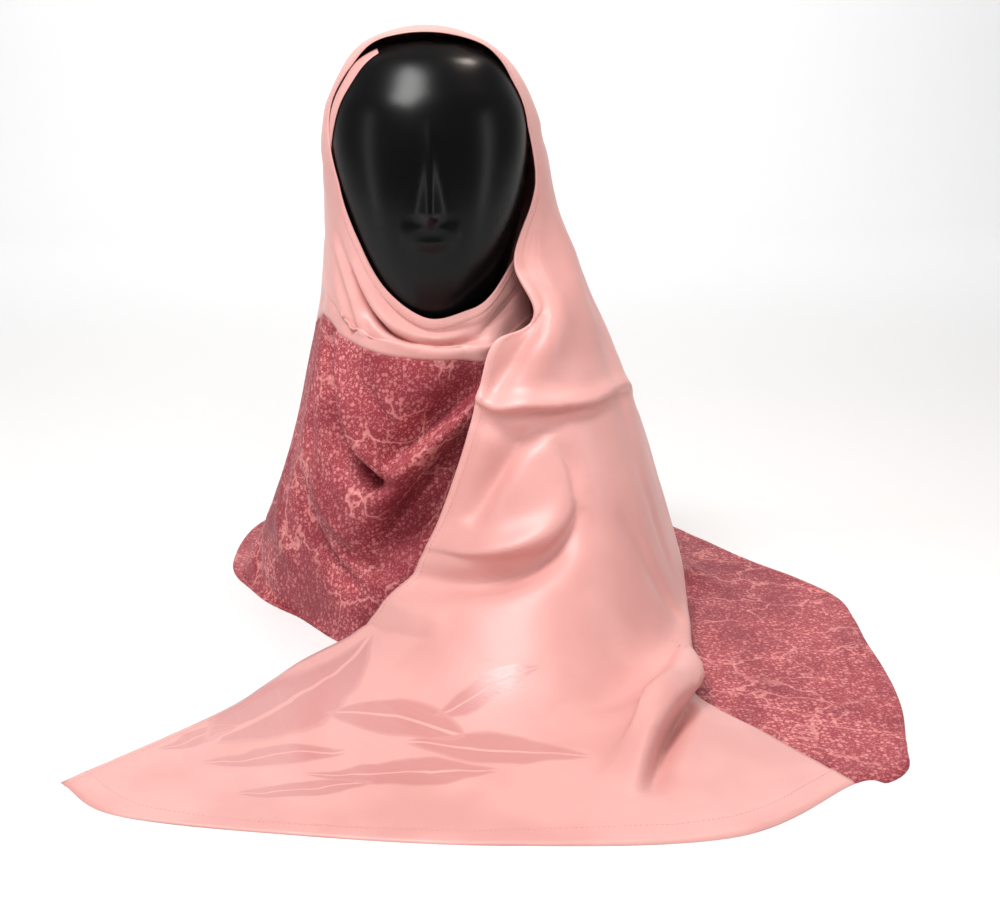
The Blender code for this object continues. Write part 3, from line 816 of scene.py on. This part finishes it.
def stitchTree():
    tree = bpy.data.node_groups.new("stitches", "GeometryNodeTree")
    kinds = {"Line": "Geometry", **{name: "Float" for name in stitchSettings}}
    kinds["Material"] = "Material"
    for name, kind in kinds.items():
        tree.interface.new_socket(name, in_out="INPUT", socket_type=f"NodeSocket{kind}")
    tree.interface.new_socket("Stitches", in_out="OUTPUT", socket_type="NodeSocketGeometry")
    add, link = tree.nodes.new, tree.links.new
    given, made = add("NodeGroupInput"), add("NodeGroupOutput")
    curve, spread = add("GeometryNodeMeshToCurve"), add("GeometryNodeCurveToPoints")
    spread.mode = "LENGTH"
    thread, copies = add("GeometryNodeMeshUVSphere"), add("GeometryNodeInstanceOnPoints")
    thread.inputs["Segments"].default_value = 6
    thread.inputs["Rings"].default_value = 5
    stretch = add("ShaderNodeCombineXYZ")
    real, paint = add("GeometryNodeRealizeInstances"), add("GeometryNodeSetMaterial")
    link(given.outputs["Line"], curve.inputs["Mesh"])
    link(curve.outputs["Curve"], spread.inputs["Curve"])
    link(given.outputs["Pitch"], spread.inputs["Length"])
    link(spread.outputs["Points"], copies.inputs["Points"])
    link(spread.outputs["Rotation"], copies.inputs["Rotation"])
    link(thread.outputs["Mesh"], copies.inputs["Instance"])
    thread.inputs["Radius"].default_value = 0.5
    link(given.outputs["Thread"], stretch.inputs["X"])
    link(given.outputs["Thread"], stretch.inputs["Y"])
    link(given.outputs["Length"], stretch.inputs["Z"])
    link(stretch.outputs["Vector"], copies.inputs["Scale"])
    link(copies.outputs["Instances"], real.inputs["Geometry"])
    link(real.outputs["Geometry"], paint.inputs["Geometry"])
    link(given.outputs["Material"], paint.inputs["Material"])
    link(paint.outputs["Geometry"], made.inputs["Stitches"])
    return tree


stitches = stitchTree()


def sewLines(name, lines, material):
    points, edges = [], []
    for line in lines:
        edges += [(len(points) + k, len(points) + k + 1) for k in range(len(line) - 1)]
        points += (np.array(line) * mm).tolist()
    mesh = bpy.data.meshes.new(name + "Line")
    mesh.from_pydata(points, edges, [])
    guide = bpy.data.objects.new(name + "Line", mesh)
    bpy.context.scene.collection.objects.link(guide)
    modifier = guide.modifiers.new("stitches", "NODES")
    modifier.node_group = stitches
    ids = {item.name: item.identifier for item in stitches.interface.items_tree}
    for key, value in (*stitchSettings.items(), ("Material", material)):
        modifier[ids[key]] = value
    solved = guide.evaluated_get(bpy.context.evaluated_depsgraph_get())
    sewn = bpy.data.objects.new(name, bpy.data.meshes.new_from_object(solved))
    bpy.data.objects.remove(guide)
    bpy.context.scene.collection.objects.link(sewn)
    return sewn


def lineDown(over, distances, wanted):  # the place in every row that is so far down it
    line = []
    for row, far in zip(over, distances):
        k = max(int(np.argmax(far >= wanted)), 1)
        part = (wanted - far[k - 1]) / (far[k] - far[k - 1])
        line.append(row[k - 1] + (row[k] - row[k - 1]) * part)
    return line


def lineAcross(over, fromEnd, wanted):  # the place in every column that is so far from the end
    return lineDown(over.transpose(1, 0, 2)[:, ::-1], fromEnd.T[:, ::-1], wanted)


hemInset = clothSettings["endHem"] - 1.2
sideInset = clothSettings["sideHem"] - 1.0
plainStitches = sewLines(
    "plainStitches",
    [lineAcross(plainOver, plainEnd, hemInset), lineDown(plainOver, plainTop, sideInset)],
    pinkThread,
)
printFoot = printTop[:, -1:] - printTop
printStitches = sewLines(
    "printStitches",
    [
        lineAcross(printOver, printEnd, hemInset),
        lineDown(printOver[:, ::-1], printFoot[:, ::-1], sideInset),
        lineDown(printOver, printTop, seamInset),
    ],
    roseThread,
)
print("stitches made")

# What each piece rides on, and the parts read from model.glb, which are hidden

for piece in (head, plainPanel, printedPanel, templeTuck, plainStitches, printStitches):
    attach(piece, "root")
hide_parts("stand_head")
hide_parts("hood", "back_plain", "chin_wrap", "front_fall")
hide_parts("print_drape", "back_print", "print_tail")
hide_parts("temple_tuck")

# Floor, light and camera

floorSettings = {
    "side": 7,
    "front": -4,
    "bend": 2.6,
    "round": 1.2,
    "rise": 5,
    "colour": (0.84, 0.84, 0.84),
}


def makeFloor(use):  # it bends up into a plain backdrop
    sweep = [(use["front"], 0)]
    for k in range(25):
        angle = turn / 4 * k / 24
        away, up = use["round"] * math.sin(angle), use["round"] * (1 - math.cos(angle))
        sweep.append((use["bend"] + away, up))
    sweep.append((use["bend"] + use["round"], use["rise"]))
    corners = [(side * use["side"], back, up) for back, up in sweep for side in (-1, 1)]
    strips = [(2 * k, 2 * k + 1, 2 * k + 3, 2 * k + 2) for k in range(len(sweep) - 1)]
    colour = {"Base Color": (*use["colour"], 1), "Roughness": 0.6}
    return newPiece("floor", corners, strips, Shader("paleFloor").finish(colour))


makeFloor(floorSettings)

lightSettings = [  # place, aimed at, size, watts, colour, whether the gloss shows it
    ((-0.5, -0.5, 1.95), (0, -0.05, 0.3), (0.6, 0.8), 32, (1.0, 0.99, 0.98), True),
    ((0.5, 0.36, 1.5), (0, 0, 0.42), (0.2, 0.2), 4, (1.0, 0.86, 0.76), True),
    ((0.1, -2.3, 1.9), (0, 0, 0.15), (1.6, 1.2), 34, (1.0, 0.99, 0.98), False),
    ((1.9, -1.1, 1.4), (0, 0, 0.15), (1.4, 1.4), 6, (1.0, 0.99, 0.98), False),
    ((-2.0, -1.0, 1.0), (0, 0, 0.2), (1.6, 1.4), 5, (1.0, 0.99, 0.98), False),
    ((1.5, -0.42, 0.62), (0, 0, 0.4), (0.22, 1.2), 2.6, (1.0, 1.0, 1.0), True),
    ((-1.5, -0.34, 0.62), (0, 0, 0.4), (0.22, 1.2), 2.0, (1.0, 1.0, 1.0), True),
    ((0, 1.6, 2.6), (0, 3.8, 1.4), (4.0, 1.0), 95, (1.0, 1.0, 1.0), False),
]
for k, (place, aim, size, watts, colour, inGloss) in enumerate(lightSettings):
    lamp = bpy.data.lights.new(f"softLight{k}", "AREA")
    lamp.shape, lamp.size, lamp.size_y = "RECTANGLE", *size
    lamp.energy, lamp.color = watts, colour
    light = bpy.data.objects.new(f"softLight{k}", lamp)
    light.location = place
    light.rotation_euler = (Vector(aim) - Vector(place)).to_track_quat("-Z", "Y").to_euler()
    light.visible_glossy = inGloss
    bpy.context.scene.collection.objects.link(light)

world = bpy.data.worlds.new("paleRoom")
world.use_nodes = True
background = world.node_tree.nodes["Background"]
background.inputs["Color"].default_value = (0.95, 0.96, 1.0, 1)
background.inputs["Strength"].default_value = 0.13
bpy.context.scene.world = world
bpy.context.scene.view_settings.view_transform = "Standard"

cameraSettings = {"place": (0, -1.2, 0.45), "turned": 2.65, "down": 15, "lens": 54}
heading, dip = math.radians(cameraSettings["turned"]), math.radians(cameraSettings["down"])
ahead = Vector(
    (math.sin(heading) * math.cos(dip), math.cos(heading) * math.cos(dip), -math.sin(dip))
)
lens = bpy.data.cameras.new("camera")
lens.lens, lens.sensor_width = cameraSettings["lens"], 36
camera = bpy.data.objects.new("camera", lens)
camera.location = cameraSettings["place"]
camera.rotation_euler = ahead.to_track_quat("-Z", "Y").to_euler()
bpy.context.scene.collection.objects.link(camera)
bpy.context.scene.camera = camera
print("light and camera set")
